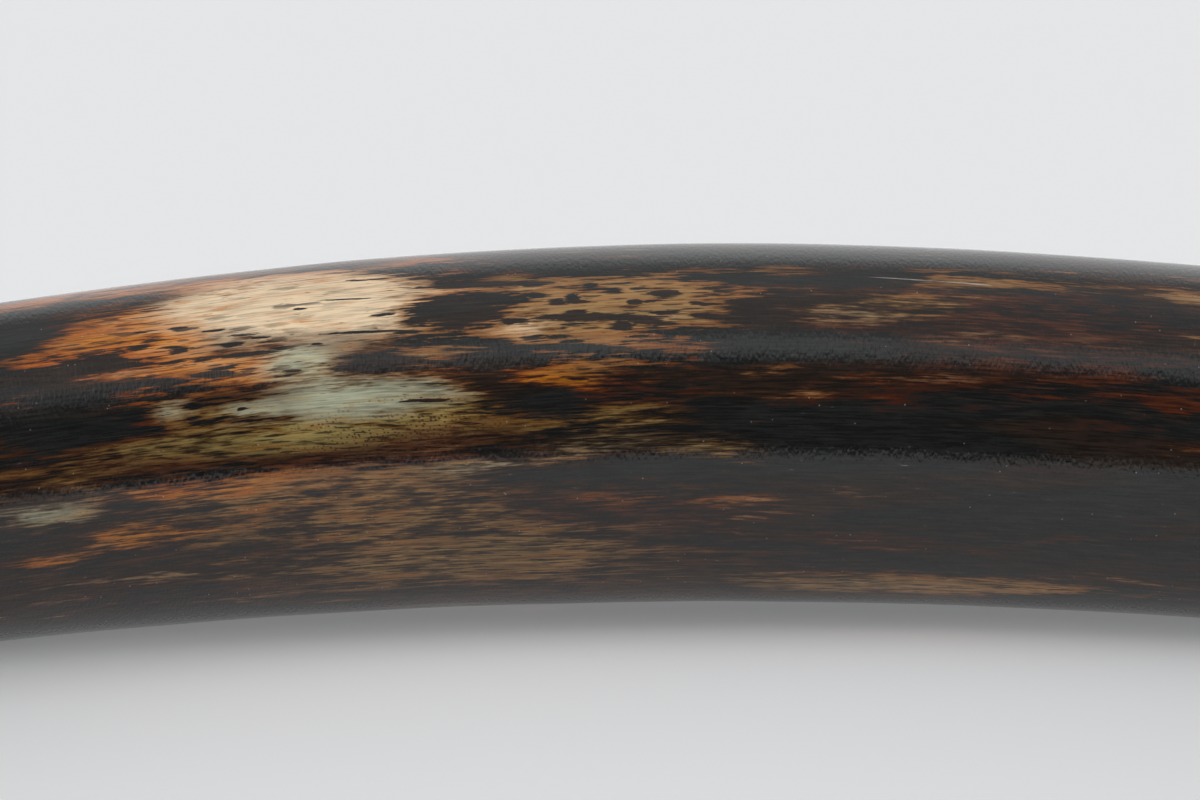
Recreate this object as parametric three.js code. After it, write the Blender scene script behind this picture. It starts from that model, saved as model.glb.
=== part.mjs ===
// A whole polished mammoth tusk, lying on its side on a flat surface. Millimetres, +Z up.
// Seen from above the centreline is a logarithmic spiral, the curve that a steadily growing tusk follows. It starts
// at the root face, which looks along -Y, turns anticlockwise, and crosses the back of the curve travelling along -X.
// The open side of the curve faces -Y. The underside touches the surface at the root and at both ends of the back,
// arches a little between them, and the tip curls up. The root end is trimmed flat, and opens into the conical pulp
// cavity. The origin is on the surface that the tusk lies on, below the middle of its bounding box.
import * as THREE from "three";

// The centreline. Distances are measured along it in plan, from the root face.
const LENGTH = 2150;
const BEND_RADIUS_ROOT = 720;
const BEND_RADIUS_TIP = 420;
const ROOT_HEADING = Math.PI / 2;

// The thickness. It is fullest near FULLEST_AT and tapers both ways, with gentle swellings on the way.
const FULLEST_AT = 960;
const FULLEST_RADIUS = 49;
const ROOT_RADIUS_SHARE = 0.94;
const TIP_TAPER_POWER = 1.15;
const TIP_ROUNDING_POWER = 0.45;
const SWELLINGS = [
  { at: 520, spread: 150, height: 1.6 },
  { at: 1080, spread: 180, height: 3.9 },
  { at: 1560, spread: 140, height: 1.2 },
];

// The section is a little oval and a little three-sided, and turns slowly from root to tip.
const OVAL_SHARE = 0.015;
const THREE_SIDED_SHARE = 0.006;
const SECTION_TWIST = Math.PI / 2;

// How the tusk lies: the heights of the two arches of its underside, where each ends, and the rise of its tip.
const ROOT_ARCH_HEIGHT = 22;
const ROOT_ARCH_END = 720;
const BACK_ARCH_HEIGHT = 1.5;
const BACK_ARCH_END = 1380;
const TIP_RISE_HEIGHT = 150;
const UNDERSIDE_EASE = 150;

// The pulp cavity, a cone that follows the centreline.
const CAVITY_DEPTH = 420;
const CAVITY_MOUTH_RADIUS = 27;
const CAVITY_POWER = 0.85;

// Facets.
const SIDES = 28;
const OUTSIDE_RINGS = 96;
const RING_SPACING_POWER = 1.5;
const CAVITY_RINGS = 14;

const FOSSIL_IVORY = new THREE.MeshStandardMaterial({ color: 0x4a3524, roughness: 0.2, metalness: 0 });

const share = (distance, from, to) => THREE.MathUtils.clamp((distance - from) / (to - from), 0, 1);

// The outside's mean radius at a distance from the root.
function outsideRadius(distance) {
  const towardsRoot = share(distance, FULLEST_AT, 0);
  const towardsTip = share(distance, FULLEST_AT, LENGTH);
  const taper =
    (1 - (1 - ROOT_RADIUS_SHARE) * towardsRoot ** 2) *
    (1 - towardsTip ** TIP_TAPER_POWER) ** TIP_ROUNDING_POWER;
  const swelling = SWELLINGS.reduce(
    (sum, { at, spread, height }) => sum + height * Math.exp(-(((distance - at) / spread) ** 2)),
    0,
  );
  return (FULLEST_RADIUS + swelling) * taper;
}

// The section's radius in one direction, as a share of its mean. The angle is 0 towards the inside of the bend, and
// a right angle towards the top.
function fullness(distance, angle) {
  const around = angle - SECTION_TWIST * (distance / LENGTH);
  return 1 + OVAL_SHARE * Math.cos(2 * around) + THREE_SIDED_SHARE * Math.cos(3 * around);
}

// The height of the underside above the surface, and its slope.
function lift(distance) {
  const rootArch = ROOT_ARCH_HEIGHT * Math.sin(Math.PI * share(distance, 0, ROOT_ARCH_END)) ** 2;
  const backArch = BACK_ARCH_HEIGHT * Math.sin(Math.PI * share(distance, ROOT_ARCH_END, BACK_ARCH_END)) ** 2;
  const tipRise = TIP_RISE_HEIGHT * share(distance, BACK_ARCH_END, LENGTH) ** 2;
  return rootArch + backArch + tipRise;
}

function liftSlope(distance) {
  const step = 0.05;
  return (lift(distance + step) - lift(distance - step)) / (2 * step);
}

// The centreline stands one section's radius above the underside. Past BACK_ARCH_END that radius eases to a constant,
// so that the rounding of the tip doesn't bend the centreline.
function centreHeight(distance) {
  const past = Math.max(0, distance - BACK_ARCH_END);
  const eased = distance - past + UNDERSIDE_EASE * (1 - Math.exp(-past / UNDERSIDE_EASE));
  return outsideRadius(eased) * fullness(eased, -Math.PI / 2) + lift(distance);
}

// The centreline's point at a distance, and the directions there to the inside of the bend and to the top.
function centreline(distance) {
  const tightening = (BEND_RADIUS_ROOT - BEND_RADIUS_TIP) / LENGTH;
  const bendRadius = BEND_RADIUS_ROOT - tightening * distance;
  const heading = ROOT_HEADING + Math.log(BEND_RADIUS_ROOT / bendRadius) / tightening;
  const reach = bendRadius / (1 + tightening ** 2);
  const point = new THREE.Vector3(
    reach * (Math.sin(heading) - tightening * Math.cos(heading)),
    reach * (-Math.cos(heading) - tightening * Math.sin(heading)),
    centreHeight(distance),
  );
  const tangent = new THREE.Vector3(Math.cos(heading), Math.sin(heading), liftSlope(distance)).normalize();
  const inside = new THREE.Vector3(-Math.sin(heading), Math.cos(heading), 0);
  const top = new THREE.Vector3().crossVectors(tangent, inside);
  return { point, inside, top };
}

// The straight tusk, turned about its axis: the cavity from its point to its mouth, the root face, and the outside.
function straightTusk() {
  const profile = [];
  for (let i = 0; i <= CAVITY_RINGS; i++) {
    const out = i / CAVITY_RINGS;
    profile.push(new THREE.Vector2(CAVITY_MOUTH_RADIUS * out ** CAVITY_POWER, CAVITY_DEPTH * (1 - out)));
  }
  for (let i = 0; i < OUTSIDE_RINGS; i++) {
    const distance = LENGTH * (1 - (1 - i / OUTSIDE_RINGS) ** RING_SPACING_POWER);
    profile.push(new THREE.Vector2(outsideRadius(distance), distance));
  }
  profile.push(new THREE.Vector2(0, LENGTH));
  return new THREE.LatheGeometry(profile, SIDES);
}

// Bends the straight tusk along the centreline, and gives its round section its natural shape.
function bendAlongCentreline(geometry) {
  const positions = geometry.attributes.position;
  for (let i = 0; i < positions.count; i++) {
    const distance = positions.getY(i);
    const towardsInside = positions.getX(i);
    const towardsTop = -positions.getZ(i);
    const sectionShare = fullness(distance, Math.atan2(towardsTop, towardsInside));
    const { point, inside, top } = centreline(distance);
    point.addScaledVector(inside, towardsInside * sectionShare);
    point.addScaledVector(top, towardsTop * sectionShare);
    positions.setXYZ(i, point.x, point.y, point.z);
  }
  geometry.computeVertexNormals();
  return geometry;
}

// Moves the geometry so that it lies on z = 0 with its bounding box centred on the origin in plan.
function layOnOrigin(geometry) {
  geometry.computeBoundingBox();
  const { min, max } = geometry.boundingBox;
  return geometry.translate(-(min.x + max.x) / 2, -(min.y + max.y) / 2, -min.z);
}

const tusk = new THREE.Mesh(layOnOrigin(bendAlongCentreline(straightTusk())), FOSSIL_IVORY);
tusk.name = "tusk";

const model = new THREE.Group();
model.add(tusk);

export default model;
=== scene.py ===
import math

import bmesh
import bpy
import numpy as np
from mathutils import Matrix, Vector, noise


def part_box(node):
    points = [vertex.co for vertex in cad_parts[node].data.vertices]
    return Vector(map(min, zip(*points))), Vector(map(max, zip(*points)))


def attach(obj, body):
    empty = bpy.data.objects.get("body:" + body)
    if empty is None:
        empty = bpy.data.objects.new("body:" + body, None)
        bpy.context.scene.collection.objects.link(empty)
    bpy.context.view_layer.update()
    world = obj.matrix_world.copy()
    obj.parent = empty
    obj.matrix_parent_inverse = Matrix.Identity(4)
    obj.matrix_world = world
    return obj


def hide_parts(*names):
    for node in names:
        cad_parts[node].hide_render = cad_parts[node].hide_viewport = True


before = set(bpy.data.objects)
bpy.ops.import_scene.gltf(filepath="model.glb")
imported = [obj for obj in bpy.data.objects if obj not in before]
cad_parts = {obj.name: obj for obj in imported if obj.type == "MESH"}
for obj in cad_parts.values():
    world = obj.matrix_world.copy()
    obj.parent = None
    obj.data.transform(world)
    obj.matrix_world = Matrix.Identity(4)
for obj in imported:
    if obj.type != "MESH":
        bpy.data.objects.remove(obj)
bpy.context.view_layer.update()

# ------------------------------------------------------------------------------------------------
# The tusk's shape, in metres. Distances are measured along the centreline in plan, from the root face.
# ------------------------------------------------------------------------------------------------
LENGTH = 2.150
BEND_RADIUS_ROOT = 0.720
BEND_RADIUS_TIP = 0.420
ROOT_HEADING = math.pi / 2

FULLEST_AT = 0.960
FULLEST_RADIUS = 0.049
ROOT_RADIUS_SHARE = 0.94
TIP_TAPER_POWER = 1.15
TIP_ROUNDING_POWER = 0.45
SWELLINGS = ((0.520, 0.150, 0.0016), (1.080, 0.180, 0.0039), (1.560, 0.140, 0.0012))

OVAL_SHARE = 0.015
THREE_SIDED_SHARE = 0.006
SECTION_TWIST = math.pi / 2

ROOT_ARCH_HEIGHT = 0.022
ROOT_ARCH_END = 0.720
BACK_ARCH_HEIGHT = 0.0015
BACK_ARCH_END = 1.380
TIP_RISE_HEIGHT = 0.150
UNDERSIDE_EASE = 0.150

CAVITY_DEPTH = 0.420
CAVITY_MOUTH_RADIUS = 0.027
CAVITY_POWER = 0.85

# The polished skin is finer than the faceted solid, and is kept just inside it.
SKIN_SHARE = 0.992
SIDES = 128
SKIN_RINGS = 620
TIP_RINGS = 40
TIP_SHARE = 0.04
TIP_RING_POWER = 1.8
CAVITY_RINGS = 56
ROOT_EDGE_ROUNDING = 0.003
MOUTH_EDGE_ROUNDING = 0.002

# The skin's relief, which fades out near both ends and doesn't reach into the cavity.
FLUTE_RELIEF = 0.00022
GROWTH_RELIEF = 0.00016
DENT_RELIEF = 0.00007
PLAIN_ROOT_LENGTH = 0.05
PLAIN_TIP_LENGTH = 0.06
CAVITY_MARGIN = 0.01
LEAST_RADIUS = 1e-5

# How the grain wanders: the noise's scale across and along the tusk, and how far it moves a place.
WANDER_SCALE = (62, 17)
WANDER_START = 5.2
WANDER_REACH = (0.0011, 0.0011, 0.0044)


def share(distance, start, end):
    return np.clip((distance - start) / (end - start), 0, 1)


def outside_radius(distance):
    """The outside's mean radius at a distance from the root."""
    towards_root = share(distance, FULLEST_AT, 0)
    towards_tip = share(distance, FULLEST_AT, LENGTH)
    taper = 1 - (1 - ROOT_RADIUS_SHARE) * towards_root ** 2
    taper = taper * (1 - towards_tip ** TIP_TAPER_POWER) ** TIP_ROUNDING_POWER
    swelling = sum(height * np.exp(-(((distance - at) / spread) ** 2)) for at, spread, height in SWELLINGS)
    return (FULLEST_RADIUS + swelling) * taper


def fullness(distance, angle):
    """The section's radius in one direction, as a share of its mean: 0 is to the inside of the bend."""
    around = angle - SECTION_TWIST * (distance / LENGTH)
    return 1 + OVAL_SHARE * np.cos(2 * around) + THREE_SIDED_SHARE * np.cos(3 * around)


def lift(distance):
    """The height of the underside above the surface that the tusk lies on."""
    root_arch = ROOT_ARCH_HEIGHT * np.sin(math.pi * share(distance, 0, ROOT_ARCH_END)) ** 2
    back_arch = BACK_ARCH_HEIGHT * np.sin(math.pi * share(distance, ROOT_ARCH_END, BACK_ARCH_END)) ** 2
    return root_arch + back_arch + TIP_RISE_HEIGHT * share(distance, BACK_ARCH_END, LENGTH) ** 2


def lift_slope(distance):
    step = 0.00005
    return (lift(distance + step) - lift(distance - step)) / (2 * step)


def centre_height(distance):
    past = np.maximum(0, distance - BACK_ARCH_END)
    eased = distance - past + UNDERSIDE_EASE * (1 - np.exp(-past / UNDERSIDE_EASE))
    return outside_radius(eased) * fullness(eased, -math.pi / 2) + lift(distance)


def centreline(distance):
    """The centreline's points, and the directions there to the inside of the bend and to the top."""
    tightening = (BEND_RADIUS_ROOT - BEND_RADIUS_TIP) / LENGTH
    bend_radius = BEND_RADIUS_ROOT - tightening * distance
    heading = ROOT_HEADING + np.log(BEND_RADIUS_ROOT / bend_radius) / tightening
    reach = bend_radius / (1 + tightening ** 2)
    point = np.stack([
        reach * (np.sin(heading) - tightening * np.cos(heading)),
        reach * (-np.cos(heading) - tightening * np.sin(heading)),
        centre_height(distance),
    ], axis=-1)
    tangent = np.stack([np.cos(heading), np.sin(heading), lift_slope(distance)], axis=-1)
    tangent /= np.linalg.norm(tangent, axis=-1, keepdims=True)
    inside = np.stack([-np.sin(heading), np.cos(heading), np.zeros_like(heading)], axis=-1)
    return point, inside, np.cross(tangent, inside)


# ------------------------------------------------------------------------------------------------
# The mesh: the straight tusk's profile is spun about its axis, and then bent along the centreline.
# ------------------------------------------------------------------------------------------------
def cavity_profile():
    """The pulp cavity from its point to its rounded mouth, as (radius, distance)."""
    points = []
    for i in range(CAVITY_RINGS):
        out = i / CAVITY_RINGS
        points.append((CAVITY_MOUTH_RADIUS * out ** CAVITY_POWER, CAVITY_DEPTH * (1 - out)))
    for turn in np.linspace(0.15, 1.0, 4) * math.pi / 2:
        flare = MOUTH_EDGE_ROUNDING * (1 - math.cos(turn))
        points.append((CAVITY_MOUTH_RADIUS + flare, MOUTH_EDGE_ROUNDING * (1 - math.sin(turn))))
    return points


def root_face_profile():
    """The flat root face from the mouth to its rounded outer edge."""
    inner = CAVITY_MOUTH_RADIUS + MOUTH_EDGE_ROUNDING
    outer = float(outside_radius(0)) - ROOT_EDGE_ROUNDING
    points = [(radius, 0.0) for radius in np.linspace(inner, outer, 7)[1:]]
    for turn in np.linspace(0, 1, 5)[1:-1] * math.pi / 2:
        radius = outer + ROOT_EDGE_ROUNDING * math.sin(turn)
        points.append((radius, ROOT_EDGE_ROUNDING * (1 - math.cos(turn))))
    return points


def skin_profile():
    """The outside from the root to the tip, with rings closer together where the tip rounds off."""
    body = np.linspace(ROOT_EDGE_ROUNDING, LENGTH * (1 - TIP_SHARE), SKIN_RINGS)
    tip = LENGTH * (1 - TIP_SHARE * np.linspace(1, 0, TIP_RINGS)[1:] ** TIP_RING_POWER)
    rings = np.concatenate([body, tip])
    return [(float(outside_radius(distance)), float(distance)) for distance in rings]


def straight_tusk():
    bm = bmesh.new()
    profile = cavity_profile() + root_face_profile() + skin_profile()
    verts = [bm.verts.new((radius, 0, distance)) for radius, distance in profile]
    edges = [bm.edges.new(pair) for pair in zip(verts, verts[1:])]
    bmesh.ops.spin(
        bm, geom=verts + edges, cent=(0, 0, 0), axis=(0, 0, 1),
        angle=2 * math.pi, steps=SIDES, use_merge=True,
    )
    bmesh.ops.remove_doubles(bm, verts=bm.verts, dist=1e-6)
    bmesh.ops.recalc_face_normals(bm, faces=bm.faces)
    return bm


def wandering_grain(straight):
    """The straight places moved a little to and fro, so that the streaks wander."""
    across, along = WANDER_SCALE
    wander = [
        noise.noise_vector(Vector((x * across, y * across, distance * along + WANDER_START)))
        for x, y, distance in straight
    ]
    return straight + np.array(wander) * WANDER_REACH


def skin_relief(distance, x, y):
    """The polished surface's own unevenness, in metres: broad flutes, growth swellings and soft dents."""
    flutes = noise.noise(Vector((distance * 3.0, x * 34, y * 34)))
    growth = noise.noise(Vector((distance * 24.0 + 7.3, x * 8, y * 8)))
    dents = noise.noise(Vector((distance * 42.0, x * 55 + 3.1, y * 55)))
    return FLUTE_RELIEF * flutes + GROWTH_RELIEF * growth + DENT_RELIEF * dents


def bend(straight):
    """The straight places bent along the centreline, with the section's shape and the skin's relief."""
    x, y, distance = straight.T
    radius = np.hypot(x, y)
    point, inside, top = centreline(distance)
    relief = np.array([skin_relief(*place) for place in zip(distance, x, y)])
    steady = share(distance, 0, PLAIN_ROOT_LENGTH) * share(distance, LENGTH, LENGTH - PLAIN_TIP_LENGTH)
    skin = np.where(distance < CAVITY_DEPTH, radius > CAVITY_MOUTH_RADIUS + CAVITY_MARGIN, True)
    out = fullness(distance, np.arctan2(y, x)) * SKIN_SHARE
    out = out + relief * steady * skin / np.maximum(radius, LEAST_RADIUS)
    return point + inside * (x * out)[:, None] + top * (y * out)[:, None]


def lay_in_box(places):
    """Moves the places so that they lie on the floor, centred in plan in the solid's box."""
    low, high = (np.array(corner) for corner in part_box("tusk"))
    shift = (low + high) / 2 - (places.min(0) + places.max(0)) / 2
    shift[2] = low[2] - places[:, 2].min()
    return places + shift


def add_field(mesh, name, values):
    kind = "FLOAT" if values.ndim == 1 else "FLOAT_VECTOR"
    field = mesh.attributes.new(name, kind, "POINT")
    field.data.foreach_set("value" if values.ndim == 1 else "vector", values.astype(np.float32).ravel())


def make_tusk():
    bm = straight_tusk()
    mesh = bpy.data.meshes.new("fossil_tusk")
    bm.to_mesh(mesh)
    bm.free()
    straight = np.empty(len(mesh.vertices) * 3)
    mesh.vertices.foreach_get("co", straight)
    straight = straight.reshape(-1, 3)
    mesh.vertices.foreach_set("co", lay_in_box(bend(straight)).ravel())
    mesh.update()
    mesh.shade_smooth()
    add_field(mesh, "straight", straight)
    add_field(mesh, "grain_place", wandering_grain(straight))
    for name, values in stain_fields(straight).items():
        add_field(mesh, name, values)
    tusk = bpy.data.objects.new("fossil_tusk", mesh)
    bpy.context.scene.collection.objects.link(tusk)
    return tusk


# ------------------------------------------------------------------------------------------------
# The stains. A patch is (millimetres from the root face, degrees around from the inside of the
# bend towards the top, half its length in millimetres, half its width in degrees, strength).
# Many of these rows, and of the lenses' rows, were first worked out by another script and then
# partly moved by hand. report.md says more under "A rule that scene.py does not keep".
# ------------------------------------------------------------------------------------------------
BARE = (
    (1163, 60, 42, 26, 1.7), (1205, 57, 20, 10, 1.3), (1212, 68, 14, 7, 0.8), (1183, 39, 30, 3, 1.0),
    (1227, 50, 14, 3, 0.9), (1117, 50, 14, 12, 0.9), (1140, 23, 42, 8, 1.7), (1190, 26, 10, 7, 1.2),
    (1154, 14, 60, 8, 1.7), (1151, 42, 22, 8, 1.4), (1146, -2, 56, 8, 1.4), (1064, 50, 38, 17, 1.3),
    (1086, 68, 20, 7, 1.1), (1031, 51, 18, 7, 0.8), (1074, 26, 20, 6, 1.3), (1054, 17, 24, 6, 0.9),
    (1150, 84, 60, 9, 1.3),
    (1154, -12, 64, 16, 1.2), (1212, -20, 42, 22, 0.7), (1225, -22, 12, 2.2, 1.2), (1198, -14, 17, 4, 1.3),
    (1227, -2, 22, 5, 1.2), (1074, -18, 50, 14, 1.1), (1094, -39, 80, 14, 1.2), (1048, -11, 34, 5, 1.1),
    (1064, -56, 90, 14, 1.1), (953, 63, 22, 4.0, 1.1), (931, 63, 14, 2.6, 0.9), (972, 51, 12, 2.6, 0.9),
    (895, 61, 8, 2.6, 1.0), (1023, 65, 20, 5, 0.8), (992, 43, 34, 7, 0.55), (920, 28, 60, 11, 0.85),
    (955, 17, 44, 7, 0.65), (915, 14, 44, 9, 0.7), (930, 48, 54, 11, 0.9), (961, -50, 52, 6, 1.2),
    (924, -24, 40, 5, 0.6), (991, -29, 34, 5, 0.6), (1104, 8, 26, 6, 0.8), (1042, 6, 36, 6, 0.7),
    (1190, 10, 40, 7, 0.9), (1240, 20, 14, 16, 0.5), (1202, 22, 22, 4, 0.8), (1112, 36, 14, 5, 0.9),
    (1190, 88, 56, 13, 1.2), (1110, 90, 40, 8, 0.9), (1020, 88, 50, 5, 0.6), (1150, 57, 30, 16, 2.6),
    (1105, -34, 62, 17, 1.5), (1218, 38, 30, 7, 0.5), (1180, 33, 34, 4, 0.9), (1166, 36, 22, 5, 0.95),
    (1142, 2, 48, 6, 1.3), (1060, -40, 60, 14, 1.0), (1000, -58, 70, 9, 1.0),
)
PALE = (
    (1152, 63, 28, 14, 1.9), (1171, 58, 13, 8, 1.0), (1136, 54, 20, 9, 1.2), (1200, 62, 6, 4, 0.4),
    (1115, 62, 8, 4, 0.8), (1123, 40, 6, 3, 0.3), (1088, 43, 8, 4, 0.7), (1081, 58, 12, 4, 0.35),
)
AMBER = (
    (1195, 55, 20, 11, 1.4), (1183, 40, 25, 3, 1.1), (1160, 46, 14, 3, 0.7), (1224, 50, 11, 3, 0.9),
    (1205, 36, 34, 7, 0.9), (1166, 37, 24, 5, 0.9), (1100, 30, 30, 5, 0.7), (1161, 79, 34, 9, 1.0),
    (1205, 86, 40, 12, 0.9), (1110, 82, 20, 12, 0.7), (1112, 56, 17, 4, 0.8), (1077, 25, 12, 3, 1.0),
    (1178, 0, 34, 4, 0.9), (1198, -14, 17, 4, 0.9), (1225, -22, 12, 3, 0.8), (1154, -8, 26, 7, 0.5),
    (1048, -11, 27, 3, 0.5), (1106, 28, 12, 3, 0.5),
)
TAN = (
    (1064, 50, 33, 16, 1.5), (1111, 40, 17, 8, 1.0), (1150, -3, 46, 6, 1.1), (953, 63, 20, 4, 1.5),
    (972, 51, 10, 3, 1.3), (895, 61, 6, 3, 1.2), (1023, 65, 17, 4, 0.8), (1128, -15, 32, 11, 1.0),
    (1102, -34, 44, 13, 1.2), (961, -50, 46, 6, 1.4), (1172, -20, 24, 7, 0.5), (931, 63, 12, 3, 1.2),
)
GREEN = (
    (1138, 24, 24, 6, 1.35), (1152, 37, 11, 6, 1.3), (1145, 31, 8, 4, 0.8), (1118, 26, 10, 3, 1.0),
    (1165, 23, 12, 4, 1.1), (1190, 26, 7, 4, 0.95), (1227, -3, 17, 4, 0.85), (1212, 2, 14, 3, 0.5),
    (1060, 8, 24, 4, 0.6), (1104, 0, 18, 4, 0.5), (1036, 4, 18, 4, 0.5), (1143, 42, 8, 4, 0.5),
)
OLIVE = (
    (1158, 15, 50, 5, 1.3), (1110, 17, 18, 4, 1.3), (1182, 22, 17, 5, 0.9), (1066, 14, 32, 5, 0.9),
    (1024, 6, 17, 9, 0.7), (1218, 12, 18, 6, 0.5), (986, 51, 20, 3, 0.5), (1233, -9, 12, 5, 0.5),
)
RUST = (
    (1068, 22, 24, 6, 1.3), (1053, 28, 20, 4, 1.0), (1126, 8, 16, 5, 1.2), (1146, 31, 26, 2.5, 0.8),
    (1140, 2, 46, 4, 1.0), (992, 44, 23, 6, 1.4), (922, 29, 46, 10, 1.5),
    (930, 47, 46, 11, 1.3), (954, 18, 36, 7, 1.3), (916, 13, 26, 5, 0.9), (1189, 14, 26, 5, 0.9),
    (1204, 32, 14, 4, 0.8), (1202, 22, 17, 3, 0.7), (1066, -17, 41, 6, 0.8), (1145, 5, 20, 3, 0.8),
    (988, -29, 18, 4, 0.5), (1051, 72, 21, 4, 0.5),
)
THIN = (
    (992, 44, 26, 6, 1.0), (922, 30, 43, 11, 1.1), (930, 50, 48, 12, 1.3), (954, 18, 38, 7, 0.9),
    (913, 12, 29, 6, 0.7), (1189, 14, 34, 7, 0.9), (1213, 34, 25, 6, 0.5), (1065, 20, 41, 8, 0.9),
    (1051, 7, 41, 7, 0.8), (1228, 23, 17, 13, 0.5), (1066, -19, 77, 15, 0.9), (1212, -24, 38, 18, 0.9),
    (976, -36, 58, 16, 0.7), (918, -32, 35, 20, 0.5), (1034, 69, 34, 5, 0.6), (1112, 31, 20, 6, 0.8),
    (1218, 69, 18, 14, 0.7), (1125, -32, 125, 34, 1.5), (1190, -14, 60, 12, 0.6), (1020, 76, 60, 8, 0.6),
    (1200, 16, 34, 8, 0.8),
)
DARK = (
    (1098, 33, 20, 2.4, 0.9), (1130, 34, 14, 1.6, 0.7),
    (1104, 51, 14, 5, 1.25), (1211, 44, 16, 5, 1.1), (1225, 62, 16, 9, 0.5), (1221, 35, 22, 9, 0.8),
    (1099, 28, 12, 4, 1.2), (948, 8, 64, 10, 1.0), (1083, 22, 14, 2.4, 1.4), (1047, 40, 12, 2.4, 0.7),
    (1018, 50, 13, 6, 0.5), (998, 34, 35, 4, 0.6), (897, 46, 16, 9, 0.4), (1074, 70, 26, 3, 0.9),
    (1063, -2, 26, 2.4, 0.8), (977, -12, 59, 10, 0.6),
)
FLECKED = (
    (1064, 50, 32, 14, 1.0), (1111, 44, 18, 12, 0.6), (1180, 46, 30, 13, 0.6), (1149, 62, 16, 13, 0.4),
)
PEPPERED = (
    (1127, 10, 18, 5, 1.7), (1113, 15, 12, 4, 1.0), (1154, 18, 24, 4, 0.5), (1124, 21, 12, 3, 0.5),
)

# Dark lenses in the pale ivory: (millimetres from the root face, degrees around, half the length
# and half the width in millimetres, lean across the grain in degrees).
LENSES = (
    (1084, 56, 4, 1.0, 3), (1072, 54, 3, 1.6, 4), (1054, 51, 2.5, 1.2, 5), (1046, 54, 5, 1.9, 0),
    (1037, 50, 2.5, 0.7, 5), (1076, 40, 4.5, 0.9, 0), (1067, 59, 2.6, 1.2, 0), (1090, 46, 2, 0.9, 7),
    (1064, 46, 21, 1.7, 4), (1058, 43, 4, 1.4, 0), (1072, 36, 20, 1.3, 5), (1097, 62, 24, 1.5, 2),
    (1070, 66, 19, 1.9, 5), (1100, 40, 12, 0.8, 2), (1113, 34, 10, 0.8, 4), (1084, 32, 4, 0.9, 0),
    (1073, 26, 4, 0.5, 3), (1116, 22, 8, 0.6, 2), (1150, 58, 2.4, 0.5, 5), (1163, 48, 5, 0.6, 3),
    (1188, 48, 5, 0.8, 4), (1186, 56, 3.2, 0.6, 0), (1196, 56, 2.4, 0.6, 5), (1195, 72, 4, 1.2, 8),
    (1168, 42, 12, 1.2, 1), (1132, 46, 16, 0.6, 3), (1126, 52, 4, 0.7, 0), (1147, 43, 2, 0.5, 5),
    (1127, 36, 10, 1.3, 5), (1155, 34, 4, 0.7, 5), (1192, 36, 10, 1.3, 4), (1177, 36, 8, 1.4, 5),
    (1202, 25, 5, 0.6, 5), (1168, 24, 1.8, 0.45, 0), (1164, 30, 2.6, 0.9, 0), (1132, 70, 4, 0.6, 8),
    (1177, 53, 4, 0.5, 0), (1136, 60, 8, 0.4, 5), (1050, 43, 8, 0.9, 5), (1035, 45, 6, 1.2, 7),
)

# The tusk's radius there in millimetres, and how much larger a lens is drawn so that its soft edge
# comes where its size says.
LENS_RADIUS = 53
LENS_LENGTH_ALLOWANCE = 1.25
LENS_WIDTH_ALLOWANCE = 1.2

# The hairline crack, in two stretches given in the same way.
HAIRLINE_CRACK = ((981, 62.4, 12, 0.30, 3.0), (963, 61.2, 13, 0.34, 3.0))

KINDS = {
    "bare": BARE, "pale": PALE, "amber": AMBER, "tan": TAN, "green": GREEN, "olive": OLIVE, "rust": RUST,
    "thin": THIN, "dark": DARK, "flecked": FLECKED, "peppered": PEPPERED,
}

# How a patch fades from its middle. The kinds that bound the dark cover fade more steeply.
PATCH_FALLOFF = 0.7
STEEP_KINDS = ("bare", "dark")
STEEP_POWER = 1.2
GENTLE_POWER = 1.0

# Where the raw parts end: just past the cavity's point, and part of the way round the root's edge.
CAVITY_POINT_MARGIN = 0.001
SAWN_SHARE_OF_EDGE = 0.3

# What is further round and along the tusk is scattered, in the same kinds of stain. The lengths are
# in millimetres and the widths in degrees, and each mixture gives the strength of its kinds.
SCATTER_SEED = 11
SCATTERED_STAINS = 110
SCATTER_ALONG = (30, 2120)
SCATTER_HALF_LENGTH = (16, 62)
SCATTER_HALF_WIDTH = (5, 17)
PALE_SIZE_SHARE = 0.7
PLACED_LENGTH = (872, 1252)
PLACED_AROUND = (-78, 98)
MIXTURES = (
    {"bare": 1.5, "pale": 1.1, "amber": 0.7, "flecked": 0.5},
    {"bare": 1.2, "amber": 1.2, "flecked": 0.4},
    {"bare": 1.2, "tan": 1.4, "flecked": 1.0},
    {"bare": 1.3, "green": 1.4, "olive": 0.8, "peppered": 0.7},
    {"bare": 0.9, "olive": 1.1, "peppered": 0.5},
    {"rust": 1.3, "thin": 1.1, "bare": 0.4},
    {"thin": 1.2, "tan": 0.6, "bare": 0.5},
    {"thin": 1.0, "rust": 0.8},
)


def meets(span, middle, half_size):
    """Whether a patch at a place comes near a span that already has its own patches."""
    return span[0] - 2 * half_size < middle < span[1] + 2 * half_size


def scattered_patches():
    """More patches of the same kinds over the rest of the tusk, as a list for each kind."""
    draw = np.random.default_rng(SCATTER_SEED)
    more = {name: [] for name in KINDS}
    for _ in range(SCATTERED_STAINS):
        along = draw.uniform(*SCATTER_ALONG)
        angle = draw.uniform(-180, 180)
        half_length = draw.uniform(*SCATTER_HALF_LENGTH)
        half_width = draw.uniform(*SCATTER_HALF_WIDTH)
        mixture = MIXTURES[draw.integers(len(MIXTURES))]
        if meets(PLACED_LENGTH, along, half_length) and meets(PLACED_AROUND, angle, half_width):
            continue
        for name, strength in mixture.items():
            size = PALE_SIZE_SHARE if name == "pale" else 1.0
            more[name].append((along, angle, half_length * size, half_width * size, strength))
    return more


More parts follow.
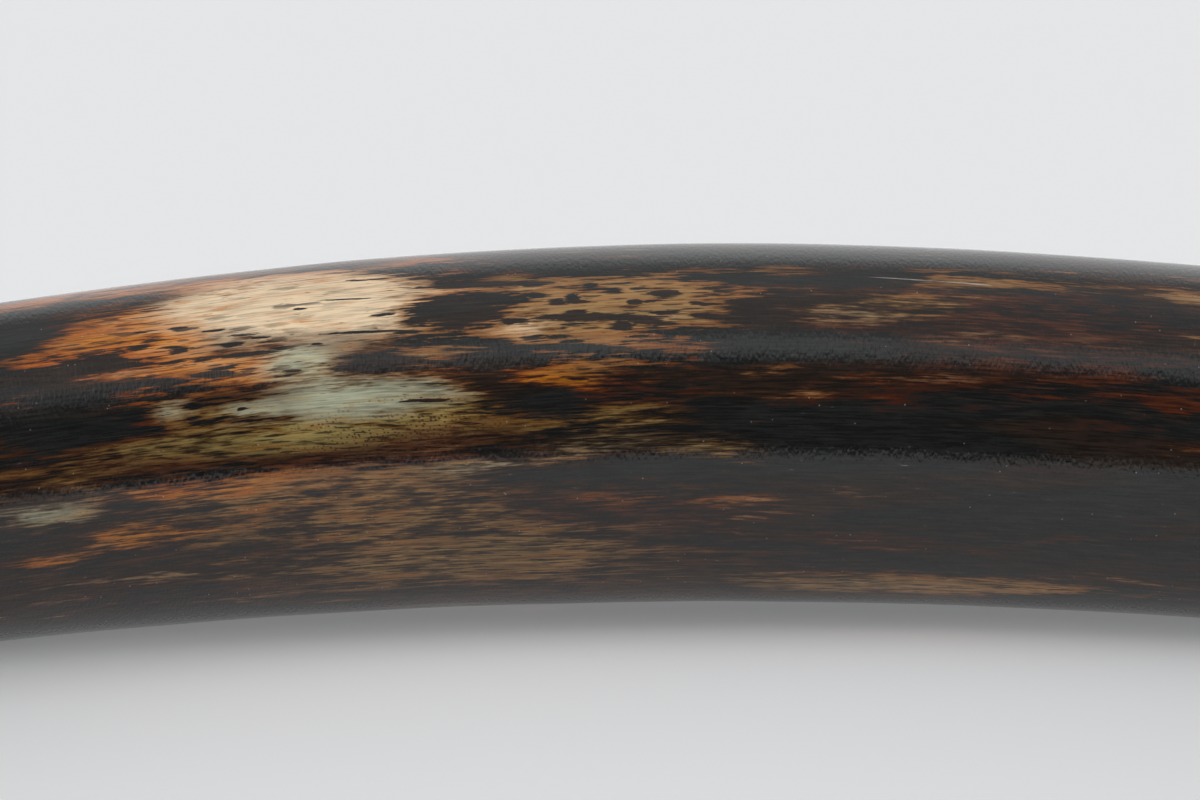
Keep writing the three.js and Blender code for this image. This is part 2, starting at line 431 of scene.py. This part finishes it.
def patch_field(straight, patches, steepness):
    """How strongly a list of soft oval patches stains each place."""
    x, y, distance = straight.T
    around = np.degrees(np.arctan2(y, x))
    field = np.zeros(len(straight))
    for along, angle, half_length, half_width, strength in patches:
        across = (around - angle + 180) % 360 - 180
        reach = ((distance * 1000 - along) / half_length) ** 2 + (across / half_width) ** 2
        field = np.maximum(field, strength * np.exp(-PATCH_FALLOFF * reach ** steepness))
    return field


def stain_fields(straight):
    """The strength of each kind of stain at each place, and how raw the surface is there."""
    more = scattered_patches()
    fields = {}
    for name, placed in KINDS.items():
        steepness = STEEP_POWER if name in STEEP_KINDS else GENTLE_POWER
        fields[name] = patch_field(straight, list(placed) + more[name], steepness)
    fields["bare"] -= fields.pop("dark")
    x, y, distance = straight.T
    radius = np.hypot(x, y)
    in_mouth = radius < CAVITY_MOUTH_RADIUS + MOUTH_EDGE_ROUNDING
    cavity = (distance < CAVITY_DEPTH + CAVITY_POINT_MARGIN) & in_mouth
    root_face = distance < SAWN_SHARE_OF_EDGE * ROOT_EDGE_ROUNDING
    fields["cavity"] = cavity.astype(float)
    fields["root_face"] = root_face.astype(float)
    return fields


# ------------------------------------------------------------------------------------------------
# Node helpers.
# ------------------------------------------------------------------------------------------------
def add_node(tree, kind, **settings):
    made = tree.nodes.new(kind)
    for name, value in settings.items():
        setattr(made, name, value)
    return made


def feed(tree, socket, value):
    if isinstance(value, bpy.types.NodeSocket):
        tree.links.new(value, socket)
    else:
        socket.default_value = value


def calculate(tree, operation, *inputs):
    made = add_node(tree, "ShaderNodeMath", operation=operation)
    for socket, value in zip(made.inputs, inputs):
        feed(tree, socket, value)
    return made.outputs[0]


def total_of(tree, *parts):
    total = parts[0]
    for part in parts[1:]:
        total = calculate(tree, "ADD", total, part)
    return total


def product_of(tree, *factors):
    total = factors[0]
    for factor in factors[1:]:
        total = calculate(tree, "MULTIPLY", total, factor)
    return total


def soft_step(tree, value, low, high, to_low=0.0, to_high=1.0):
    made = add_node(tree, "ShaderNodeMapRange", interpolation_type="SMOOTHSTEP")
    feed(tree, made.inputs["Value"], value)
    for name, number in (("From Min", low), ("From Max", high), ("To Min", to_low), ("To Max", to_high)):
        feed(tree, made.inputs[name], number)
    return made.outputs["Result"]


def blend_colour(tree, amount, under, over, kind="MIX"):
    made = add_node(tree, "ShaderNodeMix", data_type="RGBA", blend_type=kind)
    feed(tree, made.inputs["Factor"], amount)
    feed(tree, made.inputs[6], under)
    feed(tree, made.inputs[7], over)
    return made.outputs[2]


def field_of(tree, name):
    return add_node(tree, "ShaderNodeAttribute", attribute_name=name).outputs["Fac"]


def place_of(tree, name):
    return add_node(tree, "ShaderNodeAttribute", attribute_name=name).outputs["Vector"]


def drawn_out(tree, place, length_mm, width_mm, offset):
    """Coordinates in which a cell of noise is length_mm long and width_mm wide."""
    mapping = add_node(tree, "ShaderNodeMapping")
    tree.links.new(place, mapping.inputs["Vector"])
    mapping.inputs["Scale"].default_value = (1000 / width_mm, 1000 / width_mm, 1000 / length_mm)
    mapping.inputs["Location"].default_value = (offset, -offset, offset * 2)
    return mapping.outputs[0]


def grain(tree, place, length_mm, width_mm, detail, roughness, offset, swing):
    """Noise drawn out along the tusk, from about -swing / 2 to swing / 2."""
    made = add_node(tree, "ShaderNodeTexNoise", noise_dimensions="3D")
    tree.links.new(drawn_out(tree, place, length_mm, width_mm, offset), made.inputs["Vector"])
    made.inputs["Scale"].default_value = 1.0
    made.inputs["Detail"].default_value = detail
    made.inputs["Roughness"].default_value = roughness
    centred = calculate(tree, "SUBTRACT", made.outputs["Fac"], 0.5)
    return calculate(tree, "MULTIPLY", centred, swing)


# ------------------------------------------------------------------------------------------------
# The polished fossil ivory.
# ------------------------------------------------------------------------------------------------
CREAM = (0.99, 0.76, 0.50, 1)
HONEY = (0.68, 0.235, 0.018, 1)
SAND = (0.42, 0.235, 0.082, 1)
VIVIANITE = (0.56, 0.57, 0.40, 1)
MOSS = (0.38, 0.28, 0.095, 1)
RUST_BROWN = (0.135, 0.042, 0.016, 1)
BARK = (0.17, 0.078, 0.030, 1)
UMBER = (0.055, 0.025, 0.010, 1)
GREEN_BLACK = (0.0088, 0.0094, 0.0088, 1)
BROWN_BLACK = (0.018, 0.0095, 0.0055, 1)
DENTINE = (0.30, 0.19, 0.10, 1)
CEMENT = (0.10, 0.055, 0.028, 1)
OCHRE_DUST = (0.22, 0.125, 0.06, 1)
CRACK_DUST = (0.55, 0.50, 0.45, 1)

# The ground is multiplied by these where it is deeper stained, and next to the dark cover.
DEEPER_TINT = (0.72, 0.46, 0.26, 1)
FRINGE_TINT = (0.58, 0.38, 0.22, 1)

# The stains in the ground, each as (kind, colour, strength at which it starts, strength at which it
# is full). A later one lies over an earlier one.
GROUND_STAINS = (
    ("rust", RUST_BROWN, 0.1, 0.8),
    ("tan", SAND, 0.25, 0.85),
    ("amber", HONEY, 0.25, 1.0),
    ("olive", MOSS, 0.25, 1.1),
    ("pale", CREAM, 0.20, 1.05),
    ("green", VIVIANITE, 0.2, 1.35),
)

# Noises drawn out along the grain, each as (length and width of a cell in millimetres, detail,
# roughness, offset, swing). The wrinkles' cells are wider than they are long.
BROAD_NOISE = (80, 10, 2.0, 0.5, 11.0, 2.4)
LENS_NOISE = (24, 3.4, 3.0, 0.60, 1.0, 3.4)
FINE_NOISE = (9, 0.75, 3.0, 0.65, 5.0, 1.9)
HAIR_NOISE = (22, 0.50, 1.0, 0.5, 9.0, 2.0)
WRINKLE_NOISE = (0.8, 2.2, 1.0, 0.55, 17.0, 1.0)

# Scattered spots, each as (length and width of a cell in millimetres, the spot's size in its cell).
LEOPARD_SPOTS = (16, 3.6, 0.22)
DASH_SPOTS = (13, 1.5, 0.19)
PEPPER_SPOTS = (1.5, 1.2, 0.22)
DUST_SPOTS = (8, 8, 0.024)

# The finish.
WRINKLE_HEIGHT = 0.00013
RAW_EXTRA_HEIGHT = 3.0
POLISH_ROUGHNESS = (0.14, 0.19)
RAW_EXTRA_ROUGHNESS = 0.55
IVORY_IOR = 1.5
SHEEN_WEIGHT = 0.20
SHEEN_ROUGHNESS = 0.5

# The sawn root face: cells of growth rings and of cracks in a metre or a radian, where the cement
# starts and is full, how much that wavers, and the radii between which the cracks die out.
RINGS_PER_METRE = 900.0
CRACKS_PER_RADIAN = 5.0
CRACK_BENDS_PER_METRE = 60.0
CEMENT_RADII = (0.0425, 0.0435)
CEMENT_WAVER = 0.0012
CRACK_END_RADII = (0.044, 0.032)


def stain(tree, name, wobble, low, high):
    return soft_step(tree, calculate(tree, "ADD", field_of(tree, name), wobble), low, high)


def skin_place(tree, place):
    """Millimetres along the tusk and around its skin, for the lenses that are placed one by one."""
    split = add_node(tree, "ShaderNodeSeparateXYZ")
    tree.links.new(place, split.inputs[0])
    x, y, distance = split.outputs
    made = add_node(tree, "ShaderNodeCombineXYZ")
    tree.links.new(calculate(tree, "MULTIPLY", distance, 1000.0), made.inputs[0])
    around = calculate(tree, "ARCTAN2", y, x)
    tree.links.new(calculate(tree, "MULTIPLY", around, LENS_RADIUS), made.inputs[1])
    return made.outputs[0]


def lens_shape(tree, skin, along, angle, half_length, half_width, lean):
    """One lens: 1 in its middle, falling to 0 at its edge."""
    mapping = add_node(tree, "ShaderNodeMapping", vector_type="TEXTURE")
    tree.links.new(skin, mapping.inputs["Vector"])
    mapping.inputs["Location"].default_value = (along, math.radians(angle) * LENS_RADIUS, 0)
    mapping.inputs["Rotation"].default_value = (0, 0, math.radians(lean))
    mapping.inputs["Scale"].default_value = (
        half_length * LENS_LENGTH_ALLOWANCE, half_width * LENS_WIDTH_ALLOWANCE, 1,
    )
    ball = add_node(tree, "ShaderNodeTexGradient", gradient_type="SPHERICAL")
    tree.links.new(mapping.outputs[0], ball.inputs["Vector"])
    return ball.outputs["Fac"]


def dark_lenses(tree, skin, wobble):
    strongest = 0.0
    for lens in LENSES:
        strongest = calculate(tree, "MAXIMUM", strongest, lens_shape(tree, skin, *lens))
    return soft_step(tree, calculate(tree, "ADD", strongest, wobble), 0.22, 0.42)


def flecks(tree, skin, wobble, length_mm, width_mm, size):
    """Small scattered dark lenses, one here and there in a stretched cell pattern."""
    mapping = add_node(tree, "ShaderNodeMapping")
    tree.links.new(skin, mapping.inputs["Vector"])
    mapping.inputs["Scale"].default_value = (1 / length_mm, 1 / width_mm, 1)
    cells = add_node(tree, "ShaderNodeTexVoronoi", feature="F1", voronoi_dimensions="2D")
    tree.links.new(mapping.outputs[0], cells.inputs["Vector"])
    cells.inputs["Scale"].default_value = 1.0
    edge = calculate(tree, "ADD", cells.outputs["Distance"], wobble)
    return soft_step(tree, edge, size * 1.25, size * 0.75)


def ivory_ground(tree, noises):
    """The ivory under the dark cover, from cream through honey and tan to green and brown."""
    broad, lens, fine, hair = noises
    mottled = total_of(
        tree, product_of(tree, broad, 0.6), product_of(tree, lens, 0.35), product_of(tree, fine, 0.25),
    )
    colour = blend_colour(tree, soft_step(tree, mottled, -0.45, 0.35), BARK, UMBER)
    for name, tint, low, high in GROUND_STAINS:
        colour = blend_colour(tree, stain(tree, name, mottled, low, high), colour, tint)
    streaks = total_of(tree, lens, product_of(tree, fine, 0.9))
    honeyed = soft_step(tree, streaks, -0.10, 0.80, 0.0, 0.90)
    deeper = blend_colour(tree, 1.0, colour, DEEPER_TINT, "MULTIPLY")
    colour = blend_colour(tree, honeyed, colour, deeper)
    tone = soft_step(tree, hair, -0.45, 0.30, 0.82, 1.16)
    tone = total_of(tree, tone, product_of(tree, fine, 0.16))
    return blend_colour(tree, 1.0, colour, tone, "MULTIPLY")


def dark_cover(tree, skin, noises, thin):
    """How far the dark mineral cover hides the ground, and how near its edge is."""
    broad, lens, fine, hair = noises
    bare = field_of(tree, "bare")
    edge = total_of(
        tree, bare, lens, product_of(tree, broad, 0.85), product_of(tree, fine, 1.5),
        product_of(tree, hair, 0.35), -0.60,
    )
    sharp = soft_step(tree, edge, 0.12, -0.12)
    soft = soft_step(tree, edge, 0.60, -0.60)
    thick = calculate(tree, "SUBTRACT", 1.0, thin)
    covered = total_of(tree, product_of(tree, sharp, thick), product_of(tree, soft, thin))
    leopard = product_of(
        tree, flecks(tree, skin, product_of(tree, fine, 0.50), *LEOPARD_SPOTS),
        stain(tree, "flecked", product_of(tree, broad, 0.4), 0.15, 0.5),
    )
    dashed = soft_step(tree, total_of(tree, bare, product_of(tree, broad, 1.8)), 0.4, 1.4, 0.0, 0.8)
    palest = total_of(tree, field_of(tree, "green"), field_of(tree, "pale"))
    dashes = product_of(
        tree, flecks(tree, skin, product_of(tree, fine, 0.40), *DASH_SPOTS),
        dashed, soft_step(tree, palest, 0.9, 0.4, 0.10, 1.0),
    )
    for spots in (leopard, dashes, dark_lenses(tree, skin, product_of(tree, fine, 0.95))):
        covered = calculate(tree, "MAXIMUM", covered, spots)
    return covered, edge


def root_end_colour(tree, radius, place, blotches):
    """The sawn root face: growth rings round the cavity, drying cracks, and the darker cement outside."""
    across = add_node(tree, "ShaderNodeTexNoise", noise_dimensions="1D")
    tree.links.new(calculate(tree, "MULTIPLY", radius, RINGS_PER_METRE), across.inputs["W"])
    across.inputs["Scale"].default_value = 1.0
    across.inputs["Detail"].default_value = 3.0
    ringed = total_of(tree, across.outputs["Fac"], product_of(tree, blotches, 0.25))
    colour = blend_colour(tree, soft_step(tree, ringed, 0.36, 0.62), DENTINE, BARK)
    cement = total_of(tree, radius, product_of(tree, blotches, CEMENT_WAVER))
    colour = blend_colour(tree, soft_step(tree, cement, *CEMENT_RADII), colour, CEMENT)
    split = add_node(tree, "ShaderNodeSeparateXYZ")
    tree.links.new(place, split.inputs[0])
    turn = calculate(tree, "ARCTAN2", split.outputs[1], split.outputs[0])
    spokes = add_node(tree, "ShaderNodeTexNoise", noise_dimensions="2D")
    made = add_node(tree, "ShaderNodeCombineXYZ")
    tree.links.new(calculate(tree, "MULTIPLY", turn, CRACKS_PER_RADIAN), made.inputs[0])
    tree.links.new(calculate(tree, "MULTIPLY", radius, CRACK_BENDS_PER_METRE), made.inputs[1])
    tree.links.new(made.outputs[0], spokes.inputs["Vector"])
    spokes.inputs["Scale"].default_value = 1.0
    spokes.inputs["Detail"].default_value = 1.0
    gap = calculate(tree, "ABSOLUTE", calculate(tree, "SUBTRACT", spokes.outputs["Fac"], 0.5))
    dying_out = soft_step(tree, radius, *CRACK_END_RADII)
    crack = product_of(tree, soft_step(tree, gap, 0.012, 0.003), dying_out)
    return blend_colour(tree, crack, colour, UMBER)


def polished_ivory():
    mat = bpy.data.materials.new("polished_fossil_ivory")
    mat.use_nodes = True
    tree = mat.node_tree
    shader = tree.nodes["Principled BSDF"]

    straight = place_of(tree, "straight")
    place = place_of(tree, "grain_place")
    skin = skin_place(tree, place)
    broad = grain(tree, place, *BROAD_NOISE)
    lens = grain(tree, place, *LENS_NOISE)
    fine = grain(tree, place, *FINE_NOISE)
    hair = grain(tree, place, *HAIR_NOISE)
    noises = (broad, lens, fine, hair)
    ground = ivory_ground(tree, noises)

    # A brown veil darkens the ground in streaks where the dark cover is thin.
    thin = stain(tree, "thin", product_of(tree, broad, 0.6), 0.0, 1.0)
    streaks = total_of(
        tree, product_of(tree, lens, 0.3), product_of(tree, fine, 0.9), product_of(tree, hair, 0.5),
    )
    veil = soft_step(tree, streaks, -0.45, 0.55, 0.12, 0.80)
    veil = total_of(tree, product_of(tree, thin, veil), calculate(tree, "SUBTRACT", 1.0, thin))
    ground = blend_colour(tree, 1.0, ground, veil, "MULTIPLY")

    covered, edge = dark_cover(tree, skin, noises, thin)
    fringe = blend_colour(tree, 1.0, ground, FRINGE_TINT, "MULTIPLY")
    ground = blend_colour(tree, soft_step(tree, edge, 0.75, 0.05, 0.0, 0.95), ground, fringe)
    cover = blend_colour(tree, soft_step(tree, broad, -0.1, 0.3), GREEN_BLACK, BROWN_BLACK)
    cover = blend_colour(tree, 1.0, cover, soft_step(tree, streaks, -0.5, 0.7, 0.5, 2.4), "MULTIPLY")
    colour = blend_colour(tree, covered, ground, cover)

    peppered = product_of(
        tree, flecks(tree, skin, product_of(tree, fine, 0.40), *PEPPER_SPOTS),
        stain(tree, "peppered", product_of(tree, lens, 0.7), 0.2, 0.9), 0.85,
    )
    colour = blend_colour(tree, peppered, colour, UMBER)

    # A hairline crack, and specks of dust.
    waver = calculate(tree, "MULTIPLY", fine, 0.9)
    crack = calculate(tree, "MAXIMUM", *(lens_shape(tree, skin, *piece) for piece in HAIRLINE_CRACK))
    crack = calculate(tree, "ADD", crack, waver)
    colour = blend_colour(tree, soft_step(tree, crack, 0.35, 0.65, 0.0, 0.8), colour, CRACK_DUST)
    dust = flecks(tree, skin, 0.0, *DUST_SPOTS)
    dust = product_of(tree, dust, soft_step(tree, lens, 0.0, 0.4), 0.45)
    colour = blend_colour(tree, dust, colour, CRACK_DUST)

    # The root face and the pulp cavity are raw.
    split = add_node(tree, "ShaderNodeSeparateXYZ")
    tree.links.new(straight, split.inputs[0])
    x, y, _ = split.outputs
    radius = calculate(tree, "SQRT", total_of(tree, product_of(tree, x, x), product_of(tree, y, y)))
    root_face, cavity = field_of(tree, "root_face"), field_of(tree, "cavity")
    colour = blend_colour(tree, root_face, colour, root_end_colour(tree, radius, straight, lens))
    earthy = blend_colour(tree, soft_step(tree, lens, -0.4, 0.4), UMBER, OCHRE_DUST)
    colour = blend_colour(tree, cavity, colour, earthy)
    tree.links.new(colour, shader.inputs["Base Color"])

    # Fine wrinkles across the grain, in the polish. They are deeper and rougher on the raw parts.
    raw = calculate(tree, "MAXIMUM", root_face, cavity)
    wrinkles = grain(tree, straight, *WRINKLE_NOISE)
    deepening = total_of(tree, 1.0, product_of(tree, raw, RAW_EXTRA_HEIGHT))
    height = product_of(tree, wrinkles, deepening)
    bump = add_node(tree, "ShaderNodeBump")
    tree.links.new(height, bump.inputs["Height"])
    bump.inputs["Distance"].default_value = WRINKLE_HEIGHT
    tree.links.new(bump.outputs[0], shader.inputs["Normal"])
    polish = soft_step(tree, broad, -0.3, 0.4, *POLISH_ROUGHNESS)
    roughness = total_of(tree, polish, product_of(tree, raw, RAW_EXTRA_ROUGHNESS))
    tree.links.new(roughness, shader.inputs["Roughness"])
    shader.inputs["IOR"].default_value = IVORY_IOR
    shader.inputs["Sheen Weight"].default_value = SHEEN_WEIGHT
    shader.inputs["Sheen Roughness"].default_value = SHEEN_ROUGHNESS
    return mat


# ------------------------------------------------------------------------------------------------
# The stage: a pale floor, a soft studio, and the camera.
# ------------------------------------------------------------------------------------------------
FLOOR_SIZE = 80.0
FLOOR_ALBEDO = 0.85
FLOOR_GLOW = 0.180
PALE_GREY = 0.80
COOL_TINT = (1.0, 1.004, 1.010)

# The soft lights at the sides, each as (direction, inner angle, outer angle, radiance).
SIDE_LIGHTS = (
    ((0.97, -0.17, 0.26), 14, 27, 5.2),
    ((-0.97, -0.17, 0.26), 14, 27, 5.2),
    ((0.62, -0.30, 0.95), 12, 24, 0.35),
    ((-0.62, -0.30, 0.95), 12, 24, 1.00),
)
LIGHT_COLOUR = (0.992, 1.0, 1.015, 1)
ROOM = 0.02

# The lit surfaces of the studio. Each has its radiance, and ranges over which it fades in: in a
# direction's x, y or z, or in its elevation in radians from the front.
REAR_WALL = 0.53
REAR_WALL_Y = (0.05, 0.35)
REAR_WALL_Z = (0.84, 0.50)
FRONT_LIGHT = 0.78
FRONT_LIGHT_LOWER_EDGE = (0.80, 0.92)
FRONT_LIGHT_UPPER_EDGE = (1.20, 1.06)
FRONT_LIGHT_LEFT_EDGE = (-0.40, -0.05)
FRONT_LIGHT_RIGHT_EDGE = (0.34, 0.12)
OVERHEAD = 0.32
OVERHEAD_Z = (0.75, 0.95)


def lamp_lobe(tree, direction, aim, inner_deg, outer_deg, strength):
    """A soft round light in the studio, seen in one direction."""
    dot = add_node(tree, "ShaderNodeVectorMath", operation="DOT_PRODUCT")
    tree.links.new(direction, dot.inputs[0])
    dot.inputs[1].default_value = Vector(aim).normalized()
    edge, middle = (math.cos(math.radians(angle)) for angle in (outer_deg, inner_deg))
    return calculate(tree, "MULTIPLY", soft_step(tree, dot.outputs["Value"], edge, middle), strength)


def studio_world():
    world = bpy.data.worlds.new("soft_studio")
    bpy.context.scene.world = world
    world.use_nodes = True
    tree = world.node_tree
    tree.nodes.clear()
    direction = add_node(tree, "ShaderNodeTexCoord").outputs["Generated"]
    split = add_node(tree, "ShaderNodeSeparateXYZ")
    tree.links.new(direction, split.inputs[0])
    x, y, z = split.outputs
    total = ROOM
    for lamp in SIDE_LIGHTS:
        total = calculate(tree, "ADD", total, lamp_lobe(tree, direction, *lamp))
    wall = product_of(
        tree, soft_step(tree, y, *REAR_WALL_Y), soft_step(tree, z, *REAR_WALL_Z), REAR_WALL,
    )
    elevation = calculate(tree, "ARCTAN2", z, calculate(tree, "MULTIPLY", y, -1.0))
    strip = product_of(
        tree, soft_step(tree, elevation, *FRONT_LIGHT_LOWER_EDGE),
        soft_step(tree, elevation, *FRONT_LIGHT_UPPER_EDGE),
        soft_step(tree, x, *FRONT_LIGHT_LEFT_EDGE), soft_step(tree, x, *FRONT_LIGHT_RIGHT_EDGE),
        FRONT_LIGHT,
    )
    above = product_of(tree, soft_step(tree, z, *OVERHEAD_Z), OVERHEAD)
    for part in (wall, strip, above):
        total = calculate(tree, "ADD", total, part)
    lit = add_node(tree, "ShaderNodeBackground")
    lit.inputs["Color"].default_value = LIGHT_COLOUR
    tree.links.new(total, lit.inputs["Strength"])
    pale = add_node(tree, "ShaderNodeBackground")
    pale.inputs["Color"].default_value = [PALE_GREY * tint for tint in COOL_TINT] + [1]
    mix = add_node(tree, "ShaderNodeMixShader")
    tree.links.new(add_node(tree, "ShaderNodeLightPath").outputs["Is Camera Ray"], mix.inputs["Fac"])
    tree.links.new(lit.outputs[0], mix.inputs[1])
    tree.links.new(pale.outputs[0], mix.inputs[2])
    tree.links.new(mix.outputs[0], add_node(tree, "ShaderNodeOutputWorld").inputs["Surface"])


def make_floor():
    bm = bmesh.new()
    bmesh.ops.create_grid(bm, x_segments=1, y_segments=1, size=FLOOR_SIZE / 2)
    mesh = bpy.data.meshes.new("floor")
    bm.to_mesh(mesh)
    bm.free()
    floor = bpy.data.objects.new("floor", mesh)
    bpy.context.scene.collection.objects.link(floor)
    mat = bpy.data.materials.new("pale_sweep")
    mat.use_nodes = True
    paint = mat.node_tree.nodes["Principled BSDF"]
    paint.inputs["Base Color"].default_value = (FLOOR_ALBEDO, FLOOR_ALBEDO, FLOOR_ALBEDO, 1)
    paint.inputs["Roughness"].default_value = 1.0
    paint.inputs["Specular IOR Level"].default_value = 0.0
    paint.inputs["Emission Color"].default_value = LIGHT_COLOUR
    paint.inputs["Emission Strength"].default_value = FLOOR_GLOW
    mesh.materials.append(mat)


FLAG_PLACE_Y = 0.050
FLAG_WIDTH = 0.80
FLAG_HEIGHT = 0.062


def make_flag():
    """A low black card in front of the tusk, seen only in its polish."""
    bm = bmesh.new()
    bmesh.ops.create_grid(bm, x_segments=1, y_segments=1, size=0.5)
    bmesh.ops.scale(bm, vec=(FLAG_WIDTH, FLAG_HEIGHT, 1), verts=bm.verts)
    bmesh.ops.rotate(bm, cent=(0, 0, 0), matrix=Matrix.Rotation(math.pi / 2, 3, "X"), verts=bm.verts)
    bmesh.ops.translate(bm, vec=(0, FLAG_PLACE_Y, FLAG_HEIGHT / 2), verts=bm.verts)
    mesh = bpy.data.meshes.new("black_flag")
    bm.to_mesh(mesh)
    bm.free()
    flag = bpy.data.objects.new("black_flag", mesh)
    bpy.context.scene.collection.objects.link(flag)
    mat = bpy.data.materials.new("black_card")
    mat.use_nodes = True
    card = mat.node_tree.nodes["Principled BSDF"]
    card.inputs["Base Color"].default_value = (0, 0, 0, 1)
    card.inputs["Specular IOR Level"].default_value = 0.0
    mesh.materials.append(mat)
    flag.visible_camera = False
    flag.visible_diffuse = False
    flag.visible_shadow = False


CAMERA_LENS = 100.0
CAMERA_DISTANCE = 0.9485
CAMERA_ELEVATION = 11.86
CAMERA_ROLL = 0.185
CAMERA_AIM = Vector((-0.1006, 0.3723, 0.0595))


def make_camera():
    data = bpy.data.cameras.new("camera")
    data.lens = CAMERA_LENS
    data.sensor_width = 36.0
    data.clip_end = 500.0
    camera = bpy.data.objects.new("camera", data)
    bpy.context.scene.collection.objects.link(camera)
    elevation = math.radians(CAMERA_ELEVATION)
    back = Vector((0, -math.cos(elevation), math.sin(elevation)))
    tilt = Matrix.Rotation(math.pi / 2 - elevation, 4, "X")
    roll = Matrix.Rotation(math.radians(CAMERA_ROLL), 4, "Z")
    camera.matrix_world = Matrix.Translation(CAMERA_AIM + back * CAMERA_DISTANCE) @ (tilt @ roll)
    bpy.context.scene.camera = camera


make_camera()
studio_world()
make_floor()
make_flag()
bpy.context.scene.view_settings.view_transform = "Standard"

tusk = make_tusk()
tusk.data.materials.append(polished_ivory())
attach(tusk, "root")
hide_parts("tusk")
